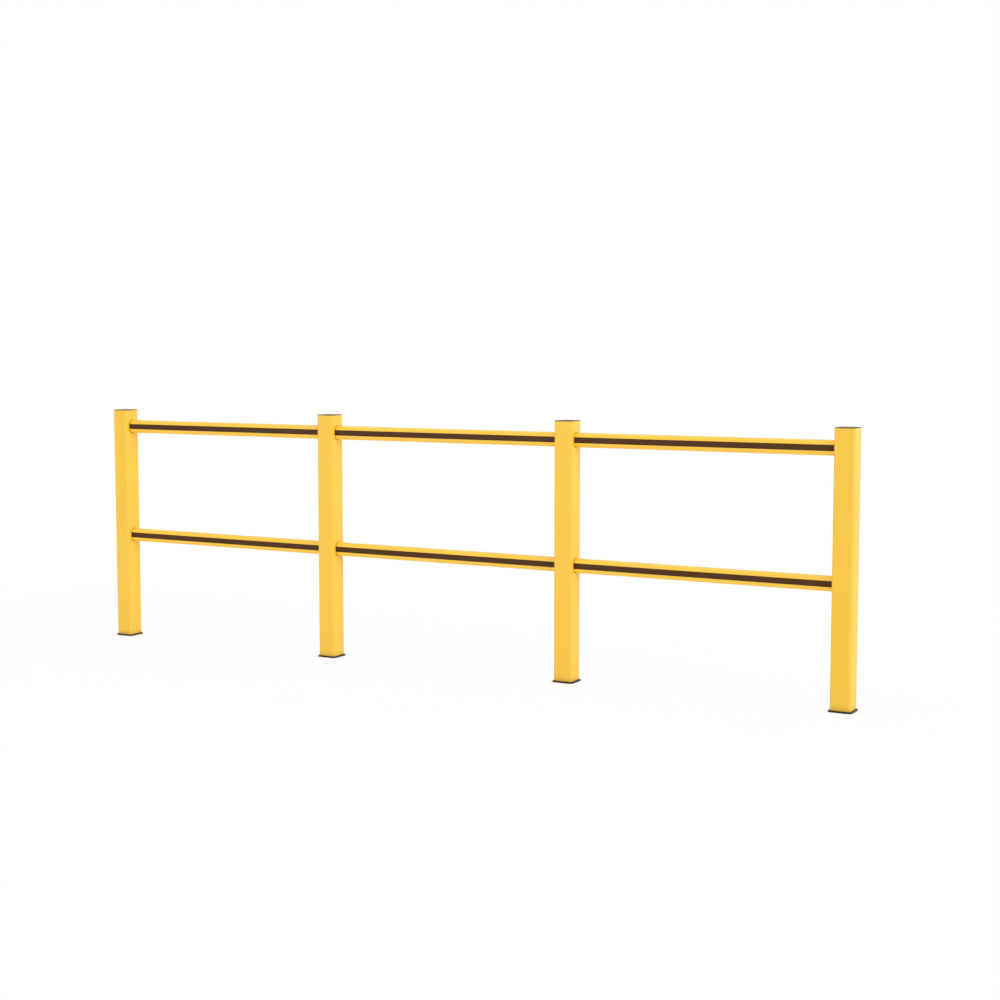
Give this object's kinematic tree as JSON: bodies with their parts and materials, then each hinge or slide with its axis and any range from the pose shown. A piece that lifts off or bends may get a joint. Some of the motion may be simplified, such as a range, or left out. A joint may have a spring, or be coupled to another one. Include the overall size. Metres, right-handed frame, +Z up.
{
  "type": "flexible impact guardrail",
  "caption": "Free-standing guardrail of square posts on small floor plates, with two oval rails in each bay and a dark strip inlaid in both faces of every rail.",
  "frame": {"origin": "centre of the underside of the first post's floor plate", "axes": "+X along the fence from the first post to the last, -Y to the front face, +Z up"},
  "size_m": [3.696, 0.096, 1.1],
  "materials": {
    "yellow_polymer": "satin moulded polymer, signal yellow, with faint lengthwise extrusion lines",
    "dark_strip": "satin warm black strip with fine lengthwise lines",
    "black_plastic": "black moulded plastic with a slight sheen",
    "coated_steel": "black powder coat on steel"
  },
  "bodies": {
    "root": {"post_1": "yellow_polymer", "post_cap_1": "black_plastic", "base_plate_1": "coated_steel", "base_spigot_1": "coated_steel", "post_2": "yellow_polymer", "post_cap_2": "black_plastic", "base_plate_2": "coated_steel", "base_spigot_2": "coated_steel", "post_3": "yellow_polymer", "post_cap_3": "black_plastic", "base_plate_3": "coated_steel", "base_spigot_3": "coated_steel", "post_4": "yellow_polymer", "post_cap_4": "black_plastic", "base_plate_4": "coated_steel", "base_spigot_4": "coated_steel", "upper_rail_1": "yellow_polymer", "upper_stripe_front_1": "dark_strip", "upper_stripe_back_1": "dark_strip", "lower_rail_1": "yellow_polymer", "lower_stripe_front_1": "dark_strip", "lower_stripe_back_1": "dark_strip", "upper_rail_2": "yellow_polymer", "upper_stripe_front_2": "dark_strip", "upper_stripe_back_2": "dark_strip", "lower_rail_2": "yellow_polymer", "lower_stripe_front_2": "dark_strip", "lower_stripe_back_2": "dark_strip", "upper_rail_3": "yellow_polymer", "upper_stripe_front_3": "dark_strip", "upper_stripe_back_3": "dark_strip", "lower_rail_3": "yellow_polymer", "lower_stripe_front_3": "dark_strip", "lower_stripe_back_3": "dark_strip"}
  },
  "joints": []
}
